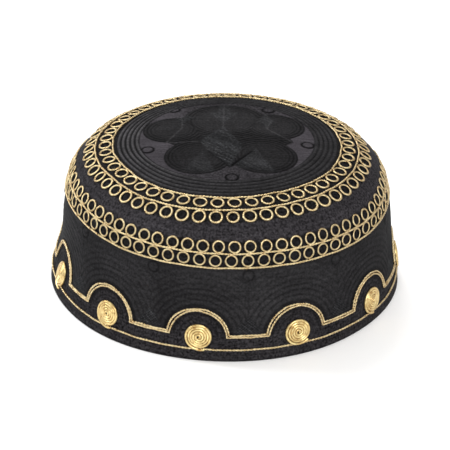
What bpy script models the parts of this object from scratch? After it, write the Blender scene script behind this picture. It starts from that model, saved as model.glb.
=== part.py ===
# A round prayer cap of black cloth, with couched gold cord round its crown and side.
# Metres, +Z up. It stands on its rim at z = 0, centred on the Z axis, with its front towards -Y.
# The cloth is one turned shell. The trim is laid over it by arc length, measured along the cloth.

import math

import bmesh
import bpy
import numpy as np

# The cloth
rim_radius = 0.095
cap_height = 0.083
cloth_thickness = 0.0024
wall_lean = 0.0126          # how far the wall leans in from the rim to the cap's full height
wall_swell = 0.00094        # how far the wall swells outwards at half height
shoulder_radius = 0.027
crown_radius = 0.440        # the shallow dome of the crown
hem_round = 0.0006          # limited by the cloth's thickness

# The gold cord and its clearance over the cloth and over other cords
cord_thickness = 0.0014
gap = 0.0003

# The nearest line of cord on each side of the shoulder, as distances along the cloth from its middle.
# Each has a row of small rings and a second line beyond it.
side_upper_drop = 0.0130
crown_outer_run = 0.0111
side_ring_width = 0.0062
crown_ring_width = 0.0068
crown_ring_space = 0.0009   # bare cloth between the inner rings and the outer line

# The foot of the side, as distances up the cloth from the rim
base_rise = 0.0072
medallion_rise = 0.0133
flat_rise = 0.0148          # the scallop's straight stretches

medallion_count = 11
medallion_radius = 0.0074
medallion_height = 0.0021
arch_radius = 0.0162
front_turn = math.radians(-8.6)     # the medallion nearest the front stands a little left of it

# Faces: every turned piece has the same steps, so that the pieces' facets lie side by side
turn_steps = 5 * medallion_count
wall_steps = 3
shoulder_steps = 6
crown_steps = 3
cord_sides = 6
arch_steps = 8
flat_steps = 3
medallion_sides = 12

black = (0.012, 0.011, 0.012, 1)
gold = (0.83, 0.68, 0.36, 1)


def wall_point(z):
    # The wall's outer radius at a height, and the outward normal there
    share = z / cap_height
    radius = rim_radius - wall_lean * share + 4 * wall_swell * share * (1 - share)
    slope = (-wall_lean + 4 * wall_swell * (1 - 2 * share)) / cap_height
    length = math.hypot(1, slope)
    return radius, (1 / length, -slope / length)


def shoulder_arc():
    # The height where the wall ends, and the centre and end angles of the shoulder that joins it to the crown
    low, high = 0.0, cap_height
    dome_middle = cap_height - crown_radius
    for _ in range(50):
        height = (low + high) / 2
        radius, normal = wall_point(height)
        middle = (radius - shoulder_radius * normal[0], height - shoulder_radius * normal[1])
        reach = math.hypot(middle[0], middle[1] - dome_middle)
        if reach > crown_radius - shoulder_radius:
            high = height
        else:
            low = height
    return height, middle, math.atan2(normal[1], normal[0]), math.atan2(middle[1] - dome_middle, middle[0])


wall_top, shoulder_middle, shoulder_low, shoulder_high = shoulder_arc()


def outline(depth, steps, foot):
    # The cloth's outline from the foot of the wall to the axis, sunk by a depth below its outside
    rows = []
    for z in np.linspace(foot, wall_top, steps[0] + 1):
        radius, normal = wall_point(z)
        rows.append((radius - depth * normal[0], z - depth * normal[1], *normal))
    for angle in np.linspace(shoulder_low, shoulder_high, steps[1] + 1)[1:]:
        normal = (math.cos(angle), math.sin(angle))
        reach = shoulder_radius - depth
        rows.append((shoulder_middle[0] + reach * normal[0], shoulder_middle[1] + reach * normal[1], *normal))
    for angle in np.linspace(shoulder_high, math.pi / 2, steps[2] + 1)[1:]:
        normal = (math.cos(angle), math.sin(angle))
        reach = crown_radius - depth
        rows.append((reach * normal[0], cap_height - crown_radius + reach * normal[1], *normal))
    return rows


# The outside by arc length, finely stepped: radius, height and outward normal, and the distance from the rim
fine_steps = (60, 40, 40)
surface = np.array(outline(0, fine_steps, 0))
surface_run = np.concatenate([[0], np.cumsum(np.hypot(*np.diff(surface[:, :2], axis=0).T))])
shoulder_run = float(surface_run[fine_steps[0]] + surface_run[fine_steps[0] + fine_steps[1]]) / 2


def over_cloth(run, lift):
    # Radius and height of a point at an arc length from the rim, lifted off the cloth
    radius, height, out, up = (np.interp(run, surface_run, surface[:, k]) for k in range(4))
    return float(radius + lift * out), float(height + lift * up)


def on_cap(angle, run, lift):
    # The same point in space, at an angle round the cap from the front
    radius, height = over_cloth(run, lift)
    return radius * math.sin(angle), -radius * math.cos(angle), height


def collection(name):
    group = bpy.data.collections.new(name)
    bpy.context.scene.collection.children.link(group)
    return group


def material(name, colour, roughness, metallic):
    made = bpy.data.materials.new(name)
    made.use_nodes = True
    shader = made.node_tree.nodes["Principled BSDF"]
    shader.inputs["Base Color"].default_value = colour
    shader.inputs["Roughness"].default_value = roughness
    shader.inputs["Metallic"].default_value = metallic
    return made


def add(name, mesh, group, finish):
    piece = bpy.data.objects.new(name, mesh)
    group.objects.link(piece)
    piece.data.materials.clear()
    piece.data.materials.append(finish)
    return piece


def turned(name, profile, group, finish, closed, steps):
    # A profile of (radius, height) turned about Z, from the top down its outer side
    bm = bmesh.new()
    points = [bm.verts.new((radius, 0, height)) for radius, height in profile]
    for first, second in zip(points, points[1:]):
        bm.edges.new((first, second))
    if closed:
        bm.edges.new((points[-1], points[0]))
    mesh = bpy.data.meshes.new(name)
    bm.to_mesh(mesh)
    bm.free()
    piece = add(name, mesh, group, finish)
    screw = piece.modifiers.new("turn", "SCREW")
    screw.steps = steps
    screw.render_steps = steps
    screw.use_merge_vertices = True
    screw.merge_threshold = 0.00001
    screw.use_smooth_shade = True
    return piece


def applied(piece):
    # The piece's mesh with its modifiers applied, and the piece removed
    bpy.context.view_layer.update()
    evaluated = piece.evaluated_get(bpy.context.evaluated_depsgraph_get())
    mesh = bpy.data.meshes.new_from_object(evaluated)
    bpy.data.objects.remove(piece)
    return mesh


def cap_body(group, finish):
    # Outside from the crown to the hem, the flat rim with rounded edges, and the inside back up to the crown
    hem = min(hem_round, 0.3 * cloth_thickness)
    steps = (wall_steps, shoulder_steps, crown_steps)
    outer = [row[:2] for row in outline(0, steps, hem)]
    inner = [row[:2] for row in outline(cloth_thickness, steps, hem)]
    bend = hem * (1 - math.sqrt(0.5))
    outer_foot, inner_foot = outer[0][0], inner[0][0]
    rim = [
        (outer_foot - bend, bend),
        (outer_foot - hem, 0),
        (inner_foot + hem, 0),
        (inner_foot + bend, bend),
    ]
    return turned("cap_body", outer[::-1] + rim + inner, group, finish, False, turn_steps)


def line(name, run, group, finish):
    # A ring of cord that lies on the cloth at an arc length from the rim
    half = cord_thickness / 2
    corners = [2 * math.pi * k / cord_sides for k in range(cord_sides)]
    profile = [
        over_cloth(run + half * math.cos(corner), gap + half + half * math.sin(corner))
        for corner in corners
    ]
    return turned(name, profile, group, finish, True, turn_steps)


def ring_band(name, line_run, side, width, group, finish):
    # The flat band that a row of rings fills, beside its line
    near = line_run + side * (cord_thickness / 2 + gap)
    far = near + side * width
    low, high = min(near, far), max(near, far)
    runs = [low, (low + high) / 2, high]
    base = [over_cloth(run, gap) for run in runs]
    top = [over_cloth(run, gap + cord_thickness) for run in runs]
    return turned(name, base + top[::-1], group, finish, True, turn_steps)


def scallop_path():
    # Points (distance round, distance up) over one arch and the flat after it, for every medallion
    start = math.asin((flat_rise - medallion_rise) / arch_radius)
    half_width = arch_radius * math.cos(start)
    path = []
    for k in range(medallion_count):
        middle = k * pitch
        for angle in np.linspace(math.pi - start, start, arch_steps + 1):
            path.append((middle + arch_radius * math.cos(angle), medallion_rise + arch_radius * math.sin(angle)))
        for share in np.linspace(0, 1, flat_steps + 1)[1:-1]:
            path.append((middle + half_width + share * (pitch - 2 * half_width), flat_rise))
    return path


def mitre(before, point, after):
    # The direction across a path at a corner, long enough to keep both sides' width
    sides = []
    for first, second in ((before, point), (point, after)):
        along = (second[0] - first[0], second[1] - first[1])
        length = math.hypot(*along)
        sides.append((-along[1] / length, along[0] / length))
    (ax, ay), (bx, by) = sides
    stretch = 1 + ax * bx + ay * by
    return (ax + bx) / stretch, (ay + by) / stretch


def scallop_cord(group, finish):
    # Two cords side by side, as one band with a groove along its middle, swept over the cloth
    half = cord_thickness / 2
    foot, groove = 1.7 * half, 1.3 * half
    section = [
        (-foot, 0), (-2 * half, half), (-half, 2 * half), (0, groove),
        (half, 2 * half), (2 * half, half), (foot, 0),
    ]
    path = scallop_path()
    round_length = medallion_count * pitch
    bm = bmesh.new()
    loops = []
    for k, point in enumerate(path):
        before = path[k - 1] if k else (path[-1][0] - round_length, path[-1][1])
        after = path[k + 1] if k + 1 < len(path) else (path[0][0] + round_length, path[0][1])
        across = mitre(before, point, after)
        loop = []
        for offset, lift in section:
            along = point[0] + offset * across[0]
            run = point[1] + offset * across[1]
            loop.append(bm.verts.new(on_cap(front_turn + along / foot_radius, run, gap + lift)))
        loops.append(loop)
    for first, second in zip(loops, loops[1:] + loops[:1]):
        for k in range(len(section)):
            bm.faces.new((first[k], first[k - 1], second[k - 1], second[k]))
    bmesh.ops.recalc_face_normals(bm, faces=bm.faces)
    mesh = bpy.data.meshes.new("scallop_cord")
    bm.to_mesh(mesh)
    bm.free()
    mesh.shade_smooth()
    return add("scallop_cord", mesh, group, finish)


def medallion_mesh(group, helpers, finish):
    # A low coil of cord, bent to the cloth, with its lower edge cut off where the base line passes it
    half = cord_thickness / 2
    flank = medallion_radius - 0.5 * half
    top_edge, top_drop = 0.45 * medallion_radius, 0.2 * half
    profile = [
        (0, medallion_height), (top_edge, medallion_height - top_drop), (flank, cord_thickness),
        (medallion_radius, half), (flank, 0), (0, 0),
    ]
    mesh = applied(turned("medallion", profile, group, finish, False, medallion_sides))
    for vertex in mesh.vertices:
        across, up, lift = vertex.co
        vertex.co = on_cap(across / foot_radius, medallion_rise + up, gap + lift)
    disc = add("medallion", mesh, group, finish)
    cut_high = base_rise + half + gap
    cut_low = medallion_rise - 1.2 * medallion_radius
    lifts = (-cloth_thickness, 2 * medallion_height)
    block = [
        over_cloth(cut_low, lifts[0]), over_cloth(cut_high, lifts[0]),
        over_cloth(cut_high, lifts[1]), over_cloth(cut_low, lifts[1]),
    ]
    cutter = turned("medallion_cutter", block, helpers, finish, True, turn_steps)
    cutter.hide_render = True
    cutter.display_type = "WIRE"
    cut = disc.modifiers.new("foot", "BOOLEAN")
    cut.operation = "DIFFERENCE"
    cut.object = cutter
    return applied(disc)


def medallions(group, helpers, finish):
    mesh = medallion_mesh(group, helpers, finish)
    mesh.shade_smooth()
    mesh.set_sharp_from_angle(angle=math.radians(50))
    for k in range(medallion_count):
        coil = add(f"medallion_{k + 1:02d}", mesh, group, finish)
        coil.rotation_euler.z = front_turn + 2 * math.pi * k / medallion_count


for old in list(bpy.data.objects):
    bpy.data.objects.remove(old)

foot_radius = over_cloth(medallion_rise, 0)[0]
pitch = 2 * math.pi * foot_radius / medallion_count

parts = collection("prayer_cap")
helpers = collection("cutters")
cloth = material("black_cloth", black, 0.75, 0.0)
cord = material("gold_cord", gold, 0.38, 0.85)

side_upper = shoulder_run - side_upper_drop
side_lower = side_upper - (cord_thickness + side_ring_width + 2 * gap)
crown_outer = shoulder_run + crown_outer_run
crown_inner = crown_outer + (cord_thickness + crown_ring_width + 2 * gap + crown_ring_space)

cap_body(parts, cloth)
line("base_line", base_rise, parts, cord)
line("side_lower_line", side_lower, parts, cord)
line("side_upper_line", side_upper, parts, cord)
line("crown_outer_line", crown_outer, parts, cord)
line("crown_inner_line", crown_inner, parts, cord)
ring_band("side_lower_rings", side_lower, 1, side_ring_width, parts, cord)
ring_band("side_upper_rings", side_upper, 1, side_ring_width, parts, cord)
ring_band("crown_outer_rings", crown_outer, -1, crown_ring_width, parts, cord)
ring_band("crown_inner_rings", crown_inner, -1, crown_ring_width, parts, cord)
scallop_cord(parts, cord)
medallions(parts, helpers, cord)
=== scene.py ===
import math

import bmesh
import bpy
import numpy as np
from mathutils import Matrix, Vector


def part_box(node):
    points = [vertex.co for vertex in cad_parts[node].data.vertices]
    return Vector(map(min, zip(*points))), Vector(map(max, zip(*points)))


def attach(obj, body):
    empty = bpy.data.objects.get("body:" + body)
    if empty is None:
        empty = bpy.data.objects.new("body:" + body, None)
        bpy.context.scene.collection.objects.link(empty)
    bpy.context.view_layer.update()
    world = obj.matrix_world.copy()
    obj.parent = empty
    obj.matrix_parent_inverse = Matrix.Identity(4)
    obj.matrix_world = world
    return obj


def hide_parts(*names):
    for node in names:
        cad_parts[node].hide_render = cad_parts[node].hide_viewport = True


# A round prayer cap of black cloth, stitched in fans and trimmed with couched gold cord.
# Everything that lies on the cap is placed by two numbers: the angle round it from the front,
# and the run, the distance along the cloth up from the rim.

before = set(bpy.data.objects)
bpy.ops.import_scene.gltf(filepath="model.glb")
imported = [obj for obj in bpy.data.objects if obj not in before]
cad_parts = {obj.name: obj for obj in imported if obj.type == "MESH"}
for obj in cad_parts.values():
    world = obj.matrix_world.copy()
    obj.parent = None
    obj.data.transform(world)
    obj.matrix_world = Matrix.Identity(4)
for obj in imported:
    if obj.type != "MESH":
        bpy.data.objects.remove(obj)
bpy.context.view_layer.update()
noise = np.random.default_rng(11)
mm = 0.001
fullTurn = 2 * math.pi


# Shader nodes

def addNode(tree, kind, sockets=None, **settings):
    # a node with its settings, and each socket either set to a value or joined to another socket
    node = tree.nodes.new(kind)
    for name, value in settings.items():
        setattr(node, name, value)
    for name, value in (sockets or {}).items():
        if isinstance(value, bpy.types.NodeSocket):
            tree.links.new(value, node.inputs[name])
        else:
            node.inputs[name].default_value = value
    return node


def maths(tree, operation, *values):
    return addNode(tree, "ShaderNodeMath", dict(enumerate(values)), operation=operation).outputs[0]


# Camera, floor and light

view = {
    "lens": 172.2,
    "distance": 1186 * mm,
    "elevation": math.radians(28.38),
    "roll": math.radians(1.13),
    "target": (-0.85 * mm, 0.0, 29.7 * mm),
}


def makeCamera():
    camera = bpy.data.objects.new("camera", bpy.data.cameras.new("camera"))
    camera.data.lens = view["lens"]
    camera.data.sensor_width = 36
    camera.data.clip_start = 0.05
    camera.data.clip_end = 20
    turn = Matrix.Rotation(math.pi / 2 - view["elevation"], 4, "X")
    back = turn @ Matrix.Translation((0, 0, view["distance"]))
    camera.matrix_world = Matrix.Translation(view["target"]) @ back @ Matrix.Rotation(view["roll"], 4, "Z")
    bpy.context.scene.collection.objects.link(camera)
    bpy.context.scene.camera = camera


studio = {
    "floorWidth": 6.0,
    "floorColour": (0.98, 0.98, 0.98, 1),
    "worldColour": (1.0, 1.0, 1.0, 1),
    "worldStrength": 0.72,
    "worldFall": 0.05,              # how much stronger it is from the right, weaker from the left
    # the side it shines from, strength, how wide it looks in degrees, and colour
    "lamps": {
        "left": ((-1.0, 0.3, 0.58), 1.65, 16, (0.94, 0.99, 1.0)),
        "behind": ((-0.35, 0.9, 1.1), 1.1, 24, (1.0, 1.0, 1.0)),
        "front": ((0.3, -1.0, 0.92), 1.8, 30, (1.0, 0.985, 0.97)),
    },
}


def makeStudio():
    bm = bmesh.new()
    bmesh.ops.create_grid(bm, x_segments=1, y_segments=1, size=studio["floorWidth"] / 2)
    mesh = bpy.data.meshes.new("floor")
    bm.to_mesh(mesh)
    bm.free()
    floor = bpy.data.objects.new("floor", mesh)
    bpy.context.scene.collection.objects.link(floor)
    paper = bpy.data.materials.new("paleFloor")
    paper.use_nodes = True
    shader = paper.node_tree.nodes["Principled BSDF"]
    shader.inputs["Base Color"].default_value = studio["floorColour"]
    shader.inputs["Roughness"].default_value = 0.9
    mesh.materials.append(paper)
    world = bpy.data.worlds.new("studio")
    bpy.context.scene.world = world
    world.use_nodes = True
    bpy.context.scene.view_settings.view_transform = "Standard"
    tree = world.node_tree
    sky = tree.nodes["Background"]
    sky.inputs["Color"].default_value = studio["worldColour"]
    towards = addNode(tree, "ShaderNodeTexCoord").outputs["Generated"]
    sideways = addNode(tree, "ShaderNodeSeparateXYZ", {0: towards}).outputs[0]
    strength = maths(tree, "MULTIPLY_ADD", sideways, studio["worldFall"], studio["worldStrength"])
    tree.links.new(strength, sky.inputs["Strength"])
    for name, (side, strength, width, colour) in studio["lamps"].items():
        light = bpy.data.lights.new(name, "SUN")
        light.energy = strength
        light.color = colour
        light.angle = math.radians(width)
        lamp = bpy.data.objects.new(name, light)
        lamp.location = side
        lamp.rotation_euler = (-Vector(side)).to_track_quat("-Z", "Y").to_euler()
        bpy.context.scene.collection.objects.link(lamp)


makeCamera()
makeStudio()
print("camera, floor and light made")


# Materials

def blendColour(tree, mask, first, second):
    return addNode(tree, "ShaderNodeMix", {0: mask, 6: first, 7: second}, data_type="RGBA").outputs[2]


def blotches(tree, vector, scale, low, high):
    # soft patches between low and high; scale is patches per metre
    cloud = addNode(tree, "ShaderNodeTexNoise", {"Vector": vector, "Scale": scale, "Detail": 3.0})
    spread = {"Value": cloud.outputs["Fac"], "From Min": 0.3, "From Max": 0.7, "To Min": low, "To Max": high}
    return addNode(tree, "ShaderNodeMapRange", spread).outputs["Result"]


def threadLinesGroup():
    # rounded threads that lie side by side: Along counts them, Across leans them
    group = bpy.data.node_groups.new("threadLines", "ShaderNodeTree")
    for name in ("Along", "Across", "Pitch", "Slant", "Wander"):
        group.interface.new_socket(name, in_out="INPUT", socket_type="NodeSocketFloat")
    for name in ("Height", "Tone"):
        group.interface.new_socket(name, in_out="OUTPUT", socket_type="NodeSocketFloat")
    given = addNode(group, "NodeGroupInput").outputs
    place = addNode(group, "ShaderNodeCombineXYZ", {0: given["Along"], 1: given["Across"]}).outputs[0]
    cloud = addNode(group, "ShaderNodeTexNoise", {"Vector": place, "Scale": 350.0, "Detail": 1.0})
    sideways = maths(group, "SUBTRACT", cloud.outputs["Fac"], 0.5)
    wander = maths(group, "MULTIPLY", sideways, given["Wander"])
    lean = maths(group, "MULTIPLY_ADD", given["Across"], given["Slant"], given["Along"])
    count = maths(group, "DIVIDE", maths(group, "ADD", lean, wander), given["Pitch"])
    wave = maths(group, "ABSOLUTE", maths(group, "SINE", maths(group, "MULTIPLY", count, math.pi)))
    number = maths(group, "FLOOR", count)
    each = addNode(group, "ShaderNodeTexWhiteNoise", {"W": number}, noise_dimensions="1D")
    addNode(group, "NodeGroupOutput", {"Height": maths(group, "SQRT", wave), "Tone": each.outputs["Value"]})
    return group


threadLines = threadLinesGroup()


def threads(tree, along, across, pitch, slant, wander):
    # slant is how much they lean, and wander how wide they stray in all
    sockets = {"Along": along, "Across": across, "Pitch": pitch, "Slant": slant, "Wander": wander}
    node = addNode(tree, "ShaderNodeGroup", sockets, node_tree=threadLines)
    return node.outputs["Height"], node.outputs["Tone"]


def meshMap(tree, name):
    # the two numbers of one of the mesh's UV maps
    flat = addNode(tree, "ShaderNodeUVMap", uv_map=name).outputs["UV"]
    return addNode(tree, "ShaderNodeSeparateXYZ", {0: flat}).outputs[:2]


def newMaterial(name):
    material = bpy.data.materials.new(name)
    material.use_nodes = True
    tree = material.node_tree
    return material, tree, tree.nodes["Principled BSDF"]


# masks on the cloth's mesh say where its ridges, mottled wedges, satin and plain parts lie; the ridge, satin
# and plain masks also carry painted shade and painted sheen
clothMasks = ("ridge", "wedge", "satin", "plain")
clothFinish = {
    # painted shade: the groove colour darkens the hollows between the stitched ridges
    "groove": (0.0030, 0.0029, 0.0032, 1),
    "thread": (0.0600, 0.0575, 0.0605, 1),
    "satin": (0.0430, 0.0388, 0.0440, 1),
    "plain": (0.0135, 0.0129, 0.0136, 1),
    "mottle": (0.0420, 0.0424, 0.0450, 1),
    # threads: how far apart, how much they lean and how far they wander
    "stitches": (0.9 * mm, 0.45, 0.5 * mm),
    "satinThreads": (0.9 * mm, 0.0, 0.35 * mm),
    "leftThreads": (1.5 * mm, 0.9, 0.5 * mm),
    "rightThreads": (1.5 * mm, -0.9, 0.5 * mm),
    # how much the shade differs from thread to thread, and the least it is
    "stitchShade": (0.2, 0.66),
    "mottleShade": (0.6, 0.4),
    "satinShade": (0.3, 0.85),
    "patches": (60.0, 0.86, 1.14),  # how many in a metre, and the shade of the darkest and the palest
    "grainSize": 1.1 * mm,
    "grain": (0.4, 1.1),            # how strong it is in the fans and elsewhere
    "wedgeGrain": 0.35,             # how far a wedge takes it from the first towards the second
    "satinCalm": 0.8,               # how much weaker it is on the satin
    "ridgeHeight": 0.7,             # how high the ridges' threads stand, as a share of the bump
    "satinHeight": 0.45,            # and the threads of the parts without stitches
    "bump": 0.2 * mm,
    "bumpStrength": 0.8,
    "roughness": 0.6,
    "specular": 0.012,
}


def makeCloth():
    material, tree, shader = newMaterial("blackCloth")
    finish = clothFinish
    weft, warp = meshMap(tree, "clothMap")
    distance, along = meshMap(tree, "stitchMap")
    masks = (addNode(tree, "ShaderNodeAttribute", attribute_name=name) for name in clothMasks)
    ridge, wedge, satin, plain = (mask.outputs["Fac"] for mask in masks)
    stitched = maths(tree, "SUBTRACT", 1.0, plain)
    stitchHeight, stitchTone = threads(tree, along, distance, *finish["stitches"])
    satinHeight, satinTone = threads(tree, warp, weft, *finish["satinThreads"])
    leftHeight, leftTone = threads(tree, warp, weft, *finish["leftThreads"])
    rightHeight = threads(tree, warp, weft, *finish["rightThreads"])[0]
    # colour
    deep = blendColour(tree, satin, finish["plain"], finish["satin"])
    stitchShade = maths(tree, "MULTIPLY_ADD", stitchTone, *finish["stitchShade"])
    # the stitched parts run from the painted shade of the grooves to the thread colour of the crests
    crest = blendColour(tree, maths(tree, "MULTIPLY", ridge, stitchShade), finish["groove"], finish["thread"])
    colour = blendColour(tree, stitched, deep, crest)
    crossing = maths(tree, "MULTIPLY", maths(tree, "MULTIPLY", leftHeight, rightHeight), wedge)
    speckle = maths(tree, "MULTIPLY", crossing, maths(tree, "MULTIPLY_ADD", leftTone, *finish["mottleShade"]))
    colour = blendColour(tree, speckle, colour, finish["mottle"])
    # shade
    place = addNode(tree, "ShaderNodeTexCoord").outputs["Object"]
    patches = blotches(tree, place, *finish["patches"])
    cell = blotches(tree, place, 1 / finish["grainSize"], -1.0, 1.0)
    inFans, elsewhere = finish["grain"]
    offWedge = maths(tree, "MULTIPLY_ADD", wedge, -finish["wedgeGrain"], 1.0)
    offSatin = maths(tree, "MULTIPLY_ADD", satin, -finish["satinCalm"], 1.0)
    even = maths(tree, "MULTIPLY", stitched, offWedge)
    amount = maths(tree, "MULTIPLY_ADD", even, inFans - elsewhere, elsewhere)
    amount = maths(tree, "MULTIPLY", amount, offSatin)
    grain = maths(tree, "MULTIPLY_ADD", cell, amount, 1.0)
    shade = maths(tree, "MULTIPLY", patches, grain)
    satinShade = maths(tree, "MULTIPLY_ADD", satinTone, *finish["satinShade"])
    shade = maths(tree, "MULTIPLY", shade, satinShade)
    scaled = addNode(tree, "ShaderNodeVectorMath", {0: colour, "Scale": shade}, operation="SCALE").outputs[0]
    tree.links.new(scaled, shader.inputs["Base Color"])
    # threads stand up from the surface
    ridgeHeight = maths(tree, "MULTIPLY", stitchHeight, maths(tree, "MULTIPLY", ridge, finish["ridgeHeight"]))
    plainHeight = maths(tree, "MULTIPLY", satinHeight, maths(tree, "SUBTRACT", 1.0, stitched))
    raised = maths(tree, "ADD", ridgeHeight, crossing)
    height = maths(tree, "MULTIPLY_ADD", plainHeight, finish["satinHeight"], raised)
    bumpSockets = {"Height": height, "Distance": finish["bump"], "Strength": finish["bumpStrength"]}
    bump = addNode(tree, "ShaderNodeBump", bumpSockets)
    tree.links.new(bump.outputs["Normal"], shader.inputs["Normal"])
    shader.inputs["Roughness"].default_value = finish["roughness"]
    shader.inputs["Specular IOR Level"].default_value = finish["specular"]
    return material


goldFinish = {
    "pale": (0.91, 0.785, 0.48, 1),
    "deep": (0.27, 0.13, 0.02, 1),
    "dark": 0.78,                   # how much of the deep colour shows, from 0 to 1
    # painted shade: edge darkens the cords along their edges, where they turn away
    "edge": 0.95,                   # how much more of it shows along the edges
    "seam": 0.3,                    # and between the turns of the strip
    "wrapPitch": 0.45 * mm,
    "wander": 0.1 * mm,             # how wide the turns stray in all
    "patches": 420.0,               # how many soft patches in a metre
    "patchShare": 0.65,             # how much of the shade they make, the rest is each turn's own
    "bump": 0.08 * mm,
    "bumpStrength": 0.7,
    "roughness": 0.24,
    "dullness": 0.14,               # how much rougher the palest patches are
    "metallic": 0.92,
}
# the medallions' cord is brighter and yellower
coilFinish = dict(goldFinish, pale=(1.0, 0.84, 0.41, 1), deep=(0.36, 0.18, 0.04, 1), dark=0.9, edge=0.7,
                  seam=0.1, wrapPitch=3.6 * mm, bump=0.01 * mm, metallic=0.75)


def makeGold(name, finish):
    # flat metal strip wound round each strand of the cord
    material, tree, shader = newMaterial(name)
    along, share = meshMap(tree, "cordMap")
    height, tone = threads(tree, along, share, finish["wrapPitch"], finish["wrapPitch"], finish["wander"])
    place = addNode(tree, "ShaderNodeTexCoord").outputs["Object"]
    patches = blotches(tree, place, finish["patches"], 0.0, 1.0)
    cloudy = maths(tree, "MULTIPLY", patches, finish["patchShare"])
    shade = maths(tree, "MULTIPLY_ADD", tone, 1 - finish["patchShare"], cloudy)
    seams = maths(tree, "MULTIPLY_ADD", height, finish["seam"], 1 - finish["seam"])
    darker = maths(tree, "SUBTRACT", 1.0, maths(tree, "MULTIPLY", shade, seams))
    pale = maths(tree, "SUBTRACT", 1.0, maths(tree, "MULTIPLY", darker, finish["dark"]))
    # painted shade: a cord is amber along its edges, where it turns away
    turned = addNode(tree, "ShaderNodeLayerWeight", {"Blend": 0.5}).outputs["Facing"]
    edgeShade = maths(tree, "MULTIPLY_ADD", maths(tree, "POWER", turned, 2.0), -finish["edge"], 1.0)
    pale = maths(tree, "MULTIPLY", pale, edgeShade)
    tree.links.new(blendColour(tree, pale, finish["deep"], finish["pale"]), shader.inputs["Base Color"])
    bumpSockets = {"Height": height, "Distance": finish["bump"], "Strength": finish["bumpStrength"]}
    bump = addNode(tree, "ShaderNodeBump", bumpSockets)
    tree.links.new(bump.outputs["Normal"], shader.inputs["Normal"])
    gloss = maths(tree, "MULTIPLY_ADD", patches, finish["dullness"], finish["roughness"])
    tree.links.new(gloss, shader.inputs["Roughness"])
    shader.inputs["Metallic"].default_value = finish["metallic"]
    return material


blackCloth = makeCloth()
goldCord = makeGold("goldCord", goldFinish)
goldCoil = makeGold("goldCoil", coilFinish)
print("cloth and gold cord materials made")


# The cap's shape

low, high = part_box("cap_body")
capShape = {
    "rimRadius": (high.x - low.x) / 2 + 0.15 * mm,
    "height": high.z,
    "thickness": 2.4 * mm,
    "lean": 12.6 * mm,
    "swell": 0.94 * mm,
    "shoulder": 27 * mm,
    "crown": 440 * mm,
    "hemFold": 1.1 * mm,
    "hemInside": 12 * mm,           # how far up the inside the outer sheet goes
    "steps": (60, 60, 40),          # how many make up the wall, the shoulder and the crown
    # hand-made unevenness: degrees round from the front, spread in degrees, run, spread in run, push outwards
    "dents": (
        (-84, 20, 3 * mm, 11 * mm, 2.0 * mm),
        (-84, 26, 28 * mm, 13 * mm, -1.5 * mm),
        (-46, 24, 0 * mm, 10 * mm, 1.3 * mm),
        (88, 24, 1 * mm, 9 * mm, 0.8 * mm),
        (90, 20, 30 * mm, 10 * mm, -0.8 * mm),
        (52, 20, 0 * mm, 12 * mm, -0.6 * mm),
        (-150, 26, 70 * mm, 12 * mm, -0.8 * mm),
        (70, 16, 62 * mm, 12 * mm, 0.7 * mm),
        (180, 55, 80 * mm, 14 * mm, -1.5 * mm),
    ),
}
wallSteps, shoulderSteps, crownSteps = capShape["steps"]


def wallPoint(z):
    # the side's radius at a height, and its outward normal
    share = z / capShape["height"]
    radius = capShape["rimRadius"] - capShape["lean"] * share + 4 * capShape["swell"] * share * (1 - share)
    slope = (-capShape["lean"] + 4 * capShape["swell"] * (1 - 2 * share)) / capShape["height"]
    length = math.hypot(1, slope)
    return radius, 1 / length, -slope / length


def shoulderArc():
    # the shoulder's arc touches the wall below it and the crown's shallow dome above it
    bottom, top = 0.0, capShape["height"]
    domeMiddle = capShape["height"] - capShape["crown"]
    for _ in range(50):
        z = (bottom + top) / 2
        radius, out, up = wallPoint(z)
        middle = (radius - capShape["shoulder"] * out, z - capShape["shoulder"] * up)
        if math.hypot(middle[0], middle[1] - domeMiddle) > capShape["crown"] - capShape["shoulder"]:
            top = z
        else:
            bottom = z
    return z, middle, math.atan2(up, out), math.atan2(middle[1] - domeMiddle, middle[0])


def capOutline(depth, foot):
    # rows of radius, height and outward normal from a height on the wall to the axis, this deep in the cloth
    wallTop, middle, first, last = shoulderArc()
    rows = []
    for z in np.linspace(foot, wallTop, wallSteps + 1):
        radius, out, up = wallPoint(z)
        rows.append((radius - depth * out, z - depth * up, out, up))
    for angle in np.linspace(first, last, shoulderSteps + 1)[1:]:
        out, up = math.cos(angle), math.sin(angle)
        reach = capShape["shoulder"] - depth
        rows.append((middle[0] + reach * out, middle[1] + reach * up, out, up))
    for angle in np.linspace(last, math.pi / 2, crownSteps + 1)[1:]:
        out, up = math.cos(angle), math.sin(angle)
        reach = capShape["crown"] - depth
        rows.append((reach * out, capShape["height"] - capShape["crown"] + reach * up, out, up))
    return np.array(rows)


def foldedHem():
    # the same rows from a little way up the inside, down round the fold and out to the wall's foot
    fold = capShape["hemFold"]
    outerRadius = wallPoint(fold)[0]
    innerRadius = outerRadius - capShape["thickness"]
    rows = []
    for z in np.linspace(capShape["hemInside"], fold, 8):
        radius, out, up = wallPoint(z)
        rows.append((radius - capShape["thickness"] * out, z, -out, -up))
    for middle, first in ((innerRadius + fold, 180), (outerRadius - fold, 270)):
        for turn in np.radians(np.linspace(first, first + 90, 7)[1:]):
            out, up = math.cos(turn), math.sin(turn)
            rows.append((middle + fold * out, fold + fold * up, out, up))
    return np.array(rows)


def runsOf(rows):
    # the distance along an outline to each of its rows
    return np.concatenate([[0], np.cumsum(np.hypot(*np.diff(rows[:, :2], axis=0).T))])


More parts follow.
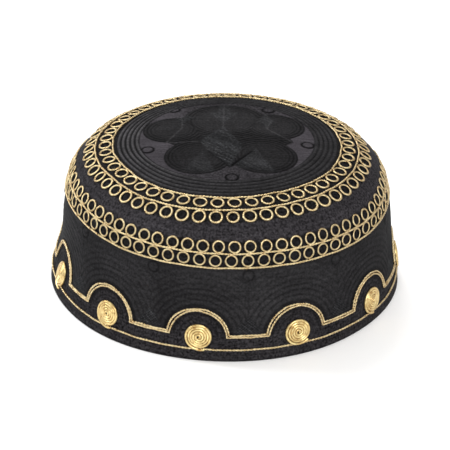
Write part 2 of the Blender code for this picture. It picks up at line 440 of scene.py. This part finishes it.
wall = capOutline(0, 0)
wallRun = runsOf(wall)
shoulderRun = (wallRun[wallSteps] + wallRun[wallSteps + shoulderSteps]) / 2
topRun = wallRun[-1]
hem = foldedHem()
hemRun = runsOf(hem)
hemRun = hemRun - hemRun[-1] + capShape["hemFold"]
hemFoot = hemRun[0]
aboveFold = wallRun > capShape["hemFold"] + 0.2 * mm
outer = {"rows": np.concatenate([hem, wall[aboveFold]]), "run": np.concatenate([hemRun, wallRun[aboveFold]])}
inside = capOutline(capShape["thickness"] + 0.02 * mm, capShape["hemInside"] - 2 * mm)
inside[:, 2:] *= -1
inner = {"rows": inside, "run": runsOf(inside)}


def degreesFrom(angle, turn):
    # how many degrees round an angle is from a turn, by the shorter way
    return (np.degrees(angle) - turn + 180) % 360 - 180


def handPush(angle, run):
    # how far the cloth stands out of true, from the table of dents
    push = np.zeros(np.broadcast(angle, run).shape)
    for turn, spread, middle, reach, depth in capShape["dents"]:
        off = degreesFrom(angle, turn)
        push = push + depth * np.exp(-((off / spread) ** 2) - ((run - middle) / reach) ** 2)
    return push


def radiusAt(run, face=outer):
    return np.interp(run, face["run"], face["rows"][:, 0])


def onCap(angle, run, lift=0.0, face=outer):
    # a point over the cloth, as an array of x, y, z
    angle, run, lift = np.broadcast_arrays(angle, run, lift)
    radius, height, out, up = (np.interp(run, face["run"], face["rows"][:, k]) for k in range(4))
    radius = radius + lift * out + handPush(angle, run) * np.clip(radius / (20 * mm), 0, 1)
    return np.stack([radius * np.sin(angle), -radius * np.cos(angle), height + lift * up], -1)


def clothNormal(angle, run):
    out, up = (np.interp(run, outer["run"], outer["rows"][:, k]) for k in (2, 3))
    return np.stack([out * np.sin(angle), -out * np.cos(angle), up], -1)


# Where the trim lies, as runs up from the rim

trim = {
    "seat": 0.25 * mm,             # how deep a cord sinks into the cloth
    "sideUpper": shoulderRun - 13.2 * mm,
    "sideLower": shoulderRun - 20.8 * mm,
    "crownOuter": shoulderRun + 10.2 * mm,
    "crownInner": shoulderRun + 19.9 * mm,
    "base": 7.2 * mm,
    "medallion": 13.3 * mm,
    "flat": 14.8 * mm,
    "arch": 15.8 * mm,
    "medallionRadius": 7.7 * mm,
    "medallionShift": (0.6 * mm, 0.8 * mm),     # from the middle of its arch, round and up
    "count": 11,
    "firstTurn": math.radians(-8.6),
}
# each arch stands this many mm further round than its even share, and is this many mm larger
archSway = np.array([0.15, -0.75, -1.0, 0.8, 0.6, -0.4, 0.5, -0.7, 0.8, 1.8, 0.3]) * mm
archGrow = np.array([0, 0, 0, -0.9, 0.3, 0, -0.2, 0, 0.2, 0.9, 0.2]) * mm
archRadius = float(radiusAt(trim["medallion"]))
archAngles = trim["firstTurn"] + fullTurn * np.arange(trim["count"]) / trim["count"] + archSway / archRadius
# hand-laid lines drift: degrees round from the front, spread in degrees, how far up the cloth
drifts = {
    "side": (
        (-116, 18, -1.5 * mm),
        (-88, 30, 2.8 * mm),
        (-62, 16, 0.9 * mm),
        (-35, 30, 0.3 * mm),
        (50, 25, -0.4 * mm),
        (84, 16, 2.9 * mm),
        (116, 18, -0.8 * mm),
    ),
    "crown": (
        (-85, 40, -0.5 * mm),
        (-58, 14, 0.6 * mm),
        (-28, 20, -1.1 * mm),
        (24, 22, 0.6 * mm),
        (80, 40, 0.6 * mm),
    ),
    "base": ((-78, 16, 1.8 * mm), (84, 12, 1.8 * mm)),
}


def drift(angle, part):
    total = 0 * angle
    for turn, spread, reach in drifts[part]:
        total = total + reach * np.exp(-(degreesFrom(angle, turn) / spread) ** 2)
    return total


def fromArches(angle, radius):
    # how far round a place is from the middle of its arch, and from the line halfway to the next arch
    off = (np.asarray(angle)[..., None] - archAngles + math.pi) % fullTurn - math.pi
    nearest = np.take_along_axis(off, np.argmin(np.abs(off), -1)[..., None], -1)[..., 0]
    two = np.sort(np.abs(off), -1)
    return nearest * radius, (two[..., 1] - two[..., 0]) / 2 * radius


# The stitched relief of the cloth

fans = {
    "firstRidge": 19.9 * mm,        # from the medallion's middle
    "ridgePitch": 2.92 * mm,
    "ridges": 7,
    "ridgeHeight": 0.28 * mm,
    "dotRise": 4.4 * mm,            # the raised round's middle, below the side's lower line
    "dotRadius": 2.3 * mm,
    "dotHeight": 0.7 * mm,
    "ringDepth": 0.2 * mm,          # of the sunk ring round it
    "wedgeTop": 11.2 * mm,          # the small triangle that stands on each flat
    "wedgeHalfWidth": 8.8 * mm,
    "wedgeHeight": 0.22 * mm,
    # inside the arch: how far from the medallion's middle, how wide and how strong each is
    "faintRidges": ((11.6 * mm, 0.8 * mm, 1.0), (9.3 * mm, 0.6 * mm, 0.8)),
    "valleys": ((13.3 * mm, 0.7 * mm, 1.0), (10.4 * mm, 0.5 * mm, 1.0)),
    "faintHeight": 0.25 * mm,
    "valleyDepth": 0.1 * mm,
}

crownFigure = {
    # in millimetres from the crown's middle, to the right and up
    # the lobes, anticlockwise from the front right, each with its radius
    "lobes": (
        (18.9, -18.9, 18.3),
        (24.6, 18.2, 17.1),
        (-2.0, 23.8, 22.9),
        (-30.4, 11.5, 16.0),
        (-15.6, -20.9, 18.3),
    ),
    # the points where the lobes meet
    "cusps": ((1.3, -32.8), (35.2, -1.3), (19.5, 35.0), (-25.7, 27.6), (-32.3, -5.2)),
    "dots": ((2.3, -42.6), (42.9, -2.9), (21.9, 40.4), (-30.4, 39.4), (-43.0, -12.0)),
    # mottled patches: how strong each is, and its corners anticlockwise
    "patches": (
        (1.0, ((-2.7, 15.0), (-15.5, -3.5), (-10.1, -15.2), (1.4, -31.5), (8.0, -9.0))),
        (0.55, ((-13.5, -15.5), (-23.5, -36.0), (-6.5, -37.0))),
        (0.7, ((15.0, -11.5), (2.5, -32.0), (25.0, -35.0))),
        (0.7, ((-2.7, 19.0), (5.4, 35.0), (-10.8, 34.0))),
        (0.7, ((-6.0, 33.0), (1.0, 33.0), (0.5, 45.5), (-5.5, 45.5))),
        (0.7, ((21.0, 13.5), (25.0, 24.0), (20.0, 36.0), (17.0, 24.0))),
        (0.7, ((-25.4, 18.0), (-19.0, 27.0), (-26.5, 33.0), (-29.5, 25.0))),
    ),
    # pale lines between the lobes, and the dark folds beside the front patch
    "seams": (
        ((-33.1, -4.5), (-25.4, 12.2), (-25.2, 22.0), (-28.0, 36.0)),
        ((34.5, -1.0), (20.8, 13.5), (23.0, 22.0), (20.0, 35.0)),
        ((-32.5, -5.5), (-16.5, -4.5)),
        ((-2.7, 15.0), (-2.7, 45.5)),
    ),
    "folds": (
        ((1.4, -31.5), (-10.1, -15.2)),
        ((1.4, -31.5), (12.8, -14.9)),
    ),
    "lobePitch": 2.1 * mm,
    "lobeHeight": 0.25 * mm,
    "groundHeight": 0.14 * mm,
    "dotRadius": 3.3 * mm,
    "dotHeight": 0.3 * mm,
    "wedgeHeight": 0.16 * mm,
    "seamHeight": 0.15 * mm,
    "ringDepth": 0.22 * mm,         # of the sunk ring round each dot
    "foldDepth": 0.25 * mm,
    "edgeDepth": 0.1 * mm,          # of the line round the lobes
    "groundReach": 47.3 * mm,
    "groundShift": (-0.7, 1.7),
    "beltReach": 59.9 * mm,
    "grooves": 5,
    "firstGroove": 48.5 * mm,
    "groovePitch": 2.54 * mm,
    "grooveHeight": 0.6 * mm,
}


def smooth(low, high, value):
    share = np.clip((value - low) / (high - low), 0, 1)
    return share * share * (3 - 2 * share)


def near(value, middle, width):
    return np.exp(-((value - middle) / width) ** 2)


def bands(distance, table):
    # soft bands at the distances of a table, which says how wide and how strong each is
    return sum(strong * near(distance, middle, width) for middle, width, strong in table)


def ridges(distance, first, spacing, count, flatness):
    # rounded ridges at even distances, 1 on each crest and 0 between them and beyond the last
    wave = 0.5 + 0.5 * np.cos(fullTurn * (distance - first) / spacing)
    begun = smooth(first - 0.62 * spacing, first - 0.45 * spacing, distance)
    last = first + (count - 1) * spacing
    return wave ** flatness * begun * (1 - smooth(last + 0.45 * spacing, last + 0.62 * spacing, distance))


def sideRelief(angle, run, place):
    # the lift of the side's cloth, and its masks and stitch coordinates
    across, toMiddle = fromArches(angle, radiusAt(run))
    up = run - trim["medallion"]
    distance = np.hypot(across, up)
    line = trim["sideLower"] + drift(angle, "side")
    arcs = ridges(distance, fans["firstRidge"], fans["ridgePitch"], fans["ridges"], 0.35)
    above = smooth(trim["flat"] - 0.5 * mm, trim["flat"] + 0.5 * mm, run)
    overArch = smooth(trim["arch"], trim["arch"] + 1 * mm, distance)
    below = 1 - smooth(line - 1.2 * mm, line - 0.4 * mm, run)
    field = above * overArch * below
    wedgeEdge = fans["wedgeHalfWidth"] * (1 - (run - trim["flat"]) / fans["wedgeTop"])
    wedge = smooth(-0.35 * mm, 0.35 * mm, wedgeEdge - toMiddle) * above * overArch
    fromDot = np.hypot(toMiddle, run - line + fans["dotRise"])
    lastRidge = fans["firstRidge"] + (fans["ridges"] - 0.5) * fans["ridgePitch"]
    corner = smooth(lastRidge, lastRidge + 0.8 * mm, distance) * field
    dot = np.sqrt(np.clip(1 - (fromDot / fans["dotRadius"]) ** 2, 0, 1)) * below
    ring = 0.85 * near(fromDot, 1.25 * fans["dotRadius"], 0.6 * mm) * corner
    seam = 0.6 + 0.4 * smooth(0.1 * mm, 0.7 * mm, toMiddle)
    # the ridges are plainest near the arch; painted shade makes the fans darker at the right and in two
    # places at the left
    arcs = arcs + (1 - arcs) * 0.4 * smooth(24 * mm, 36 * mm, distance)
    degrees = np.degrees(angle)
    shade = 1 - 0.22 * smooth(15, 55, degrees) - 0.35 * (near(degrees, -51, 6) + near(degrees, -20, 6))
    ridge = arcs * field * seam * (1 - wedge)
    # painted shade: the fans' shade also darkens their weave
    weave = 0.2 * field * (1 - ring) * shade
    # within and beyond the ridges the stitches lie flat
    firstFlat = fans["firstRidge"] - 0.6 * fans["ridgePitch"]
    within = 1 - smooth(firstFlat - 1 * mm, firstFlat, distance)
    beyond = smooth(lastRidge, lastRidge + 1 * mm, distance)
    flatStitches = (within + beyond) * field * (1 - ring)
    # two faint ridges follow the arch inside it, and one runs along between the flats and the base line
    inArch = (1 - overArch) * smooth(-1 * mm, 2 * mm, up)
    underFlat = near(run, 11 * mm, 0.6 * mm) * smooth(12 * mm, 14 * mm, np.abs(across))
    faint = bands(distance, fans["faintRidges"]) * inArch + underFlat
    valley = bands(distance, fans["valleys"]) * inArch
    lift = fans["ridgeHeight"] * ridge + fans["dotHeight"] * dot + fans["wedgeHeight"] * wedge
    lift = lift - fans["ringDepth"] * ring + fans["faintHeight"] * faint - fans["valleyDepth"] * valley
    stitches = 0.75 * ridge + 0.7 * dot + 0.5 * faint + 0.3 * flatStitches + 0.25 * field * (1 - ring)
    # painted shade: the cloth is darker inside the rings
    upper = trim["sideUpper"] + drift(angle, "side") + 6.6 * mm
    rows = smooth(line, line + 0.5 * mm, run) * (1 - smooth(upper - 1 * mm, upper, run))
    crownLow = trim["crownOuter"] - 7.8 * mm + drift(angle, "crown")
    rows = rows + smooth(crownLow, crownLow + 1 * mm, run)
    return {
        "lift": lift,
        # painted shade: the ridge mask is darkened by the fans' painted shade
        "ridge": 0.42 * shade * np.clip(stitches, 0, 1),
        "wedge": np.maximum(0.85 * wedge, weave),
        # painted shade: among the rings the satin and plain masks are lowered
        "satin": np.where(run > line, 0.38, 0.22) * (1 - rows),
        "plain": np.clip(1 - field - 0.6 * valley - 0.25 * rows, 0, 1),
        "distance": np.where(field > 0.5, distance, run),
        "along": np.where(field > 0.5, np.arctan2(up, across) * 25 * mm, angle * 90 * mm),
    }


def toLine(x, y, corners):
    # how far a place is from a row of straight lines
    least = np.full(np.shape(x), np.inf)
    for first, last in zip(corners, corners[1:]):
        spanX, spanY = last[0] - first[0], last[1] - first[1]
        share = ((x - first[0]) * spanX + (y - first[1]) * spanY) / (spanX ** 2 + spanY ** 2)
        share = np.clip(share, 0, 1)
        least = np.minimum(least, np.hypot(x - first[0] - share * spanX, y - first[1] - share * spanY))
    return least


def insideOf(x, y, corners):
    # how far a place is inside a patch without hollows, less than 0 outside
    depth = np.full(np.shape(x), np.inf)
    for first, last in zip(corners, corners[1:] + corners[:1]):
        spanX, spanY = last[0] - first[0], last[1] - first[1]
        cross = spanX * (y - first[1]) - spanY * (x - first[0])
        depth = np.minimum(depth, cross / math.hypot(spanX, spanY))
    return depth


def crownRelief(angle, run, place):
    # the same for the crown: a five-lobed stitched figure on a smooth ground inside grooves
    x, y = place[..., 0] / mm, place[..., 1] / mm
    fromAxis = np.hypot(x, y) * mm
    shiftX, shiftY = crownFigure["groundShift"]
    first = crownFigure["groundReach"] + (x * shiftX + y * shiftY) / np.maximum(np.hypot(x, y), 1) * mm
    last = crownFigure["beltReach"] - drift(angle, "crown")
    share = (fromAxis - first) / (last - first)
    width = crownFigure["beltReach"] - crownFigure["groundReach"]
    fromAxis = crownFigure["groundReach"] + np.where(share > 0, share * width, fromAxis - first)
    depths = [radius - np.hypot(x - lobeX, y - lobeY) for lobeX, lobeY, radius in crownFigure["lobes"]]
    depth = np.max(depths, 0) * mm
    core = smooth(-0.3, 0.3, insideOf(x, y, crownFigure["cusps"]))
    inside = np.maximum(smooth(-0.3 * mm, 0.3 * mm, depth), core)
    wedge, seam, fold = 0 * x, 0 * x, 0 * x
    for strong, corners in crownFigure["patches"]:
        wedge = np.maximum(wedge, strong * smooth(-0.8, 0.8, insideOf(x, y, corners)) * inside)
    for corners in crownFigure["seams"]:
        seam = np.maximum(seam, near(toLine(x, y, corners), 0, 0.5) * inside)
    for corners in crownFigure["folds"]:
        fold = np.maximum(fold, near(toLine(x, y, corners), 0, 0.8))
    # the lobes' ridges follow their outer edges and die out further in
    wave = 0.5 + 0.5 * np.cos(fullTurn * (depth - 1.2 * mm) / crownFigure["lobePitch"])
    strength = 1 - 0.8 * smooth(2 * mm, 9 * mm, depth)
    ridge = np.sqrt(wave) * strength * inside * (1 - wedge) * (1 - fold)
    flatPart = 0.42 * (1 - strength) * inside * (1 - fold)
    reach = crownFigure["groundReach"]
    ground = (1 - smooth(reach - 0.3 * mm, reach + 0.3 * mm, fromAxis)) * (1 - inside)
    ring, dot = 0 * x, 0 * x
    for dotX, dotY in crownFigure["dots"]:
        fromDot = np.hypot(x - dotX, y - dotY) * mm
        dot = np.maximum(dot, smooth(0, 0.8 * mm, crownFigure["dotRadius"] - fromDot))
        ring = np.maximum(ring, near(fromDot, crownFigure["dotRadius"], 0.6 * mm))
    # the grooves are widest at the left
    atLeft = near(np.degrees(angle), -85, 50)
    groovePlaces = [crownFigure[key] for key in ("firstGroove", "groovePitch", "grooves")]
    grooves = ridges(fromAxis, *groovePlaces, flatness=0.35 + 0.75 * atLeft)
    edge = near(depth, -0.2 * mm, 0.5 * mm) * (1 - core)
    lift = crownFigure["groundHeight"] * ground * smooth(0, 3 * mm, -depth)
    lift = lift + crownFigure["lobeHeight"] * ridge + crownFigure["grooveHeight"] * grooves
    lift = lift + crownFigure["dotHeight"] * dot - crownFigure["ringDepth"] * ring
    lift = lift + crownFigure["wedgeHeight"] * wedge + crownFigure["seamHeight"] * seam
    lift = lift - crownFigure["foldDepth"] * fold - crownFigure["edgeDepth"] * edge
    beltEnd = crownFigure["beltReach"]
    belt = smooth(reach - 0.3 * mm, reach + 0.3 * mm, fromAxis)
    belt = belt * (1 - smooth(beltEnd - 0.2 * mm, beltEnd + 0.3 * mm, fromAxis))
    # painted shade: beyond the belt, among the crown's rings, the cloth is darker
    rows = smooth(beltEnd, beltEnd + 0.5 * mm, fromAxis)
    # painted sheen: the ground is paler at the sides of the crown, the belt's crests at the left and the
    # lobes at the back
    paintedSheen = 0.49 + 0.51 * smooth(18, 38, np.abs(x))
    crest = 0.48 + 0.95 * atLeft
    lobes = 0.23 * ridge + 0.62 * flatPart
    return {
        "lift": lift,
        # painted sheen lifts the belt's crests at the left and the lobes at the back
        "ridge": np.clip(lobes * (1 + 0.4 * smooth(-15, 25, y)) + crest * grooves + 0.4 * seam, 0, 1.3),
        "wedge": wedge,
        # painted sheen: the satin ground is paler at the sides
        "satin": np.clip(ground * (1 - ring), 0, 1) * paintedSheen,
        # the rows lower the plain mask: painted shade among the rings
        "plain": np.clip(1 - inside - belt - ring - 0.25 * rows, 0, 1),
        "distance": np.where(belt > 0.5, fromAxis, depth),
        "along": np.where(belt > 0.5, angle * 52 * mm, np.arctan2(y - 5, x + 3) * 25 * mm),
    }


def readCorners(mesh):
    flat = np.empty(len(mesh.vertices) * 3)
    mesh.vertices.foreach_get("co", flat)
    return flat.reshape(-1, 3)


def setMap(mesh, name, values):
    # a UV map from one pair of numbers for each vertex
    corner = np.empty(len(mesh.loops), dtype=int)
    mesh.loops.foreach_get("vertex_index", corner)
    layer = mesh.uv_layers.new(name=name)
    layer.uv.foreach_set("vector", values[corner].astype(np.float32).ravel())


def setMask(mesh, name, values):
    layer = mesh.attributes.new(name, "FLOAT", "POINT")
    layer.data.foreach_set("value", values.astype(np.float32))


def gridMesh(name, columns, rows):
    # a flat grid, and each corner's share of the way along its columns and up its rows
    bm = bmesh.new()
    bmesh.ops.create_grid(bm, x_segments=columns, y_segments=rows, size=0.5)
    mesh = bpy.data.meshes.new(name)
    bm.to_mesh(mesh)
    bm.free()
    flat = readCorners(mesh) + 0.5
    return mesh, np.rint(flat[:, 0] * columns) / columns, np.rint(flat[:, 1] * rows) / rows


def closeSeams(mesh, outwards=False):
    bm = bmesh.new()
    bm.from_mesh(mesh)
    bmesh.ops.remove_doubles(bm, verts=bm.verts, dist=0.002 * mm)
    if outwards:
        bmesh.ops.recalc_face_normals(bm, faces=bm.faces)
    bm.to_mesh(mesh)
    bm.free()
    mesh.shade_smooth()


def finishPiece(name, mesh, material, slot, *nodes):
    piece = bpy.data.objects.new(name, mesh)
    bpy.context.scene.collection.objects.link(piece)
    mesh.materials.clear()
    mesh.materials.append(material)
    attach(piece, "root")
    if nodes:
        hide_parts(*nodes)


def clothSheet(name, lowRun, highRun, columns, rows, relief, face, replaced):
    # a flat grid laid on the cap: its columns go round, and its rows go up the cloth
    mesh, round, up = gridMesh(name, columns, rows)
    angle = fullTurn * (round - 0.5)
    run = lowRun + up * (highRun - lowRun)
    place = onCap(angle, run, 0.0, face)
    given = relief(angle, run, place)
    mesh.vertices.foreach_set("co", onCap(angle, run, given["lift"], face).ravel())
    if relief is crownRelief:
        setMap(mesh, "clothMap", place[:, :2])
    else:
        setMap(mesh, "clothMap", np.stack([angle * 90 * mm, run], -1))
    setMap(mesh, "stitchMap", np.stack([given["distance"], given["along"]], -1))
    for mask in clothMasks:
        setMask(mesh, mask, given[mask])
    closeSeams(mesh)
    finishPiece(name, mesh, blackCloth, "black_cloth", *replaced)


def insideRelief(angle, run, place):
    # the back of the cloth is plain
    nothing = 0 * run
    return {"lift": nothing, "ridge": nothing, "wedge": nothing, "satin": nothing, "plain": nothing + 1,
            "distance": nothing, "along": nothing}


# each border between two sheets lies under a cord or in a row of rings
crownBorder = trim["crownInner"] - 2 * mm
sheets = (
    # piece, where it starts and ends, how many columns and rows, its relief, its face, nodes it replaces
    ("clothFoot", hemFoot, trim["base"], 484, 40, sideRelief, outer, ()),
    ("clothFans", trim["base"], trim["sideLower"], 968, 82, sideRelief, outer, ("cap_body",)),
    ("clothShoulder", trim["sideLower"], crownBorder, 484, 60, sideRelief, outer, ()),
    ("clothCrown", crownBorder, topRun, 640, 122, crownRelief, outer, ()),
    ("clothInside", 0.0, inner["run"][-1], 240, 80, insideRelief, inner, ()),
)
for sheet in sheets:
    clothSheet(*sheet)
print("cloth laid: foot, fans, shoulder, crown and inside")


# Gold cord

cordShape = {
    "strand": 0.36 * mm,            # radius of each of the two strands
    "twist": 3.6 * mm,              # the length of one turn of the twist
    "offset": 0.23 * mm,            # how far a strand's middle lies from the cord's
    "single": 0.72 * mm,            # radius of a cord of one strand
    "steps": 11,                    # points for each turn of the twist
    "sides": 6,
}


def lengthAlong(places):
    # the distance along a row of points to each of them
    return np.concatenate([[0], np.cumsum(np.linalg.norm(np.diff(places, axis=0), axis=1))])


def tube(name, middles, sideways, outward, radius, closed):
    # a grid rolled round a row of points; its map holds the length along and the share round
    steps = len(middles) - 1
    mesh, along, round = gridMesh(name, steps, cordShape["sides"])
    here = np.rint(along * steps).astype(int)
    turn = fullTurn * round
    thick = np.full(steps + 1, radius)
    if not closed:
        thick[[0, -1]] = 0
        thick[[1, -2]] *= 0.8
    reach = thick[here][:, None]
    place = middles[here] + reach * (
        np.cos(turn)[:, None] * sideways[here] + np.sin(turn)[:, None] * outward[here])
    mesh.vertices.foreach_set("co", place.ravel())
    setMap(mesh, "cordMap", np.stack([lengthAlong(middles)[here], round], -1))
    closeSeams(mesh, outwards=True)
    return mesh


def joined(name, meshes):
    bm = bmesh.new()
    for mesh in meshes:
        bm.from_mesh(mesh)
        bpy.data.meshes.remove(mesh)
    whole = bpy.data.meshes.new(name)
    bm.to_mesh(whole)
    bm.free()
    whole.shade_smooth()
    return whole


def twistedCord(name, angle, run, lift, closed, hand=1, plies=2):
    # strands wound round each other along a path over the cloth; hand is the way they wind
    length = lengthAlong(onCap(angle, run, lift))
    turns = round(length[-1] / cordShape["twist"])
    along = np.linspace(0, length[-1], turns * cordShape["steps"] + 1)
    angle, run, lift = (np.interp(along, length, value) for value in (angle, run, lift + 0 * run))
    middles = onCap(angle, run, lift)
    tangent = np.gradient(middles, axis=0)
    if closed:
        tangent[0] = tangent[-1] = middles[1] - middles[-2]
        middles[-1] = middles[0]
    tangent /= np.linalg.norm(tangent, axis=1)[:, None]
    outward = clothNormal(angle, run)
    sideways = np.cross(outward, tangent)
    sideways /= np.linalg.norm(sideways, axis=1)[:, None]
    outward = np.cross(tangent, sideways)
    phase = hand * fullTurn * turns * along / length[-1]
    offset = cordShape["offset"] if plies > 1 else 0
    thick = cordShape["strand"] if plies > 1 else cordShape["single"]
    strands = []
    for k in range(plies):
        spin = phase + fullTurn * k / plies
        strand = middles + offset * (np.cos(spin)[:, None] * sideways + np.sin(spin)[:, None] * outward)
        if closed:
            strand[-1] = strand[0]
        strands.append(tube(name, strand, sideways, outward, thick, closed))
    return joined(name, strands)


def straying(angle, amount, waves=(7, 13, 23, 41)):
    # a slow wander that meets itself after one turn round the cap
    stray = 0 * angle
    for wave in waves:
        stray = stray + np.sin(wave * angle + noise.uniform(0, fullTurn)) / math.sqrt(len(waves))
    return amount * stray


cordLift = cordShape["strand"] + cordShape["offset"] - 0.5 * trim["seat"]
lines = (
    # piece, where it runs, node, how it drifts, how far it strays
    ("cordBase", "base", "base_line", "base", 0.12 * mm),
    ("cordSideLower", "sideLower", "side_lower_line", "side", 0.12 * mm),
    ("cordSideUpper", "sideUpper", "side_upper_line", "side", 0.12 * mm),
    ("cordCrownOuter", "crownOuter", "crown_outer_line", "crown", 0.16 * mm),
    ("cordCrownInner", "crownInner", "crown_inner_line", "crown", 0.25 * mm),
)
for name, place, node, part, stray in lines:
    angle = np.linspace(0, fullTurn, 721)
    run = trim[place] + drift(angle, part) + straying(angle, stray)
    mesh = twistedCord(name, angle, run, cordLift, True)
    finishPiece(name, mesh, goldCord, "gold_cord", node)
print("line cords laid")


def scallopPath(offset):
    # angle and run of a cord that arches over each medallion and runs straight between the arches
    flat = trim["flat"] + offset
    across, up = [], []
    places = np.append(archAngles, archAngles[0] + fullTurn) * archRadius
    reaches = trim["arch"] + offset + np.append(archGrow, archGrow[0])
    halves = np.sqrt(reaches ** 2 - (flat - trim["medallion"]) ** 2)
    for k in range(trim["count"]):
        reach, here = reaches[k], places[k]
        start = math.acos(halves[k] / reach)
        arc = np.linspace(math.pi - start, start, 41)
        across.append(here + reach * np.cos(arc))
        up.append(trim["medallion"] + reach * np.sin(arc))
        gap = np.linspace(here + halves[k], places[k + 1] - halves[k + 1], 13)[1:-1]
        across.append(gap)
        up.append(flat + 0 * gap)
    across, run = np.concatenate(across), np.concatenate(up)
    across = np.append(across, across[0] + fullTurn * archRadius)
    run = np.append(run, run[0])
    return across / archRadius, run


scallops = {
    "apart": 1.04 * mm,             # between the middles of the two cords
    "gape": 0.75 * mm,              # how much further apart they lie where each arch rises
    "stray": 0.14 * mm,
}
pair = []
for hand in (-1, 1):
    angle, run = scallopPath(hand * scallops["apart"] / 2)
    across = fromArches(angle, archRadius)[0]
    reach = np.hypot(across, run - trim["medallion"])
    # on the left of each arch the cords part
    rising = near(np.arctan2(run - trim["medallion"], across), math.radians(145), 0.55)
    part = hand * scallops["gape"] / 2 * rising * smooth(0, 1 * mm, run - trim["flat"]) / reach
    angle = angle + part * across / float(radiusAt(trim["arch"]))
    run = run + part * (run - trim["medallion"]) + straying(angle, scallops["stray"], (17, 29, 53, 97))
    run[-1] = run[0]
    angle[-1] = angle[0] + fullTurn
    pair.append(twistedCord("scallopCord", angle, run, cordLift, True, hand=hand))
finishPiece("cordScallops", joined("cordScallops", pair), goldCord, "gold_cord", "scallop_cord")
print("scalloped cords laid")


# Rows of small rings

ringShape = {
    "steps": 18,
    "sides": 4,
    "flat": 0.7,                    # a ring's cord is this share as high as it is wide
    "size": 0.02,                   # unevenness of a ring's width, as a share
    "stray": 0.10 * mm,             # of how far up the cloth it lies
    "slide": 0.0010,                # of the angles between rings
    "tilt": 0.05,                   # of how level it lies, as a slope
}
ringRows = (
    # piece, node, line, how far up from it, drift, how many, degrees of the first, width, cord's radius
    ("ringsSideLower", "side_lower_rings", "sideLower", 3.85 * mm, "side", 66, 1.9, 6.9 * mm, 0.55 * mm),
    ("ringsSideUpper", "side_upper_rings", "sideUpper", 3.4 * mm, "side", 66, 2.94, 7.0 * mm, 0.60 * mm),
    ("ringsCrownOuter", "crown_outer_rings", "crownOuter", -4.1 * mm, "crown", 54, 22.4, 7.8 * mm, 0.70 * mm),
    ("ringsCrownInner", "crown_inner_rings", "crownInner", -4.2 * mm, "crown", 47, 26.4, 7.8 * mm, 0.70 * mm),
)


def ringMesh(name, turn, run, width, cord):
    # one ring of cord laid flat on the cloth, bent as the cloth is
    reach = width / 2 - cord
    mesh, along, round = gridMesh(name, ringShape["steps"], ringShape["sides"])
    spin = fullTurn * along + noise.uniform(0, fullTurn)
    roll = fullTurn * round
    oval = 1 + noise.normal(0, ringShape["size"]) * np.cos(2 * spin)
    out = reach * oval + cord * np.cos(roll)
    across, up = out * np.cos(spin), out * np.sin(spin)
    tilt = noise.normal(0, ringShape["tilt"])
    lift = ringShape["flat"] * cord * (1 + np.sin(roll)) - 0.5 * trim["seat"] + tilt * across
    place = onCap(turn + across / radiusAt(run), run + up, lift)
    mesh.vertices.foreach_set("co", place.ravel())
    setMap(mesh, "cordMap", np.stack([along * fullTurn * reach, round], -1))
    closeSeams(mesh, outwards=True)
    return mesh


for name, node, line, rise, part, count, first, width, cord in ringRows:
    rings = []
    for k in range(count):
        turn = math.radians(first) + fullTurn * k / count + noise.normal(0, ringShape["slide"])
        run = trim[line] + rise + drift(turn, part) + noise.normal(0, ringShape["stray"])
        outside = width * (1 + noise.normal(0, ringShape["size"]))
        rings.append(ringMesh(name, turn, run, outside, cord))
    finishPiece(name, joined(name, rings), goldCord, "gold_cord", node)
print("rings laid in four rows")


# Medallions: cord wound in a flat spiral

medallionShape = {
    "turns": 5.2,
    "innermost": 0.2 * mm,
    "edgeOn": 9,                    # the medallion at the left edge, laid off the middle and narrower
    "edgeOnShift": 2.8 * mm,
    "edgeOnWidth": 0.88,
    "rise": 0.45 * mm,              # the middle stands this much higher than the rim
    "lastTurn": 0.35 * mm,          # how far the last turn stands away from the others
    "gapTurn": math.radians(225),   # where that gap is widest
    "gapStray": 0.3,                # and how much it differs, in radians
    "tail": 0.5 * mm,               # how far the cord's end sticks out
    "end": math.radians(-58),       # where the cord ends, down by the base line
    "endStray": 0.25,               # and how much that differs, in radians
    "winding": 0.93,                # under 1, so the outer turns lie a little closer
    "lift": 0.25 * mm,              # how much higher than the line cords it lies
}


def medallionMesh(name, k):
    # wind goes from 0 at the spiral's middle to 1 at the cord's end
    wind = np.linspace(0, 1, 300)
    turns = medallionShape["turns"]
    end = medallionShape["end"] + noise.normal(0, medallionShape["endStray"])
    spin = end + fullTurn * turns * (wind - 1)
    innermost = medallionShape["innermost"]
    outermost = trim["medallionRadius"] - cordShape["strand"] - cordShape["offset"]
    reach = innermost + (outermost - innermost) * wind ** medallionShape["winding"]
    gapTurn = medallionShape["gapTurn"] + noise.normal(0, medallionShape["gapStray"])
    gap = smooth(-0.2, 0.6, np.cos(spin - gapTurn))
    beforeLast = 1 - smooth(1 - 1.1 / turns, 1 - 0.9 / turns, wind)
    reach = reach - medallionShape["lastTurn"] * gap * beforeLast * wind
    reach = reach + medallionShape["tail"] * smooth(0.975, 1, wind)
    across, up = reach * np.cos(spin), reach * np.sin(spin)
    dome = medallionShape["rise"] * (1 - (reach / outermost) ** 2)
    lift = cordLift + medallionShape["lift"] + dome
    right, rise = trim["medallionShift"]
    if k == medallionShape["edgeOn"]:
        across = across * medallionShape["edgeOnWidth"] + medallionShape["edgeOnShift"]
    angle = archAngles[k] + (across + right) / archRadius
    return twistedCord(name, angle, trim["medallion"] + rise + up, lift, False, plies=1)


for k in range(trim["count"]):
    name = "medallion%02d" % (k + 1)
    finishPiece(name, medallionMesh(name, k), goldCoil, "gold_cord", "medallion_%02d" % (k + 1))
print("medallions wound")
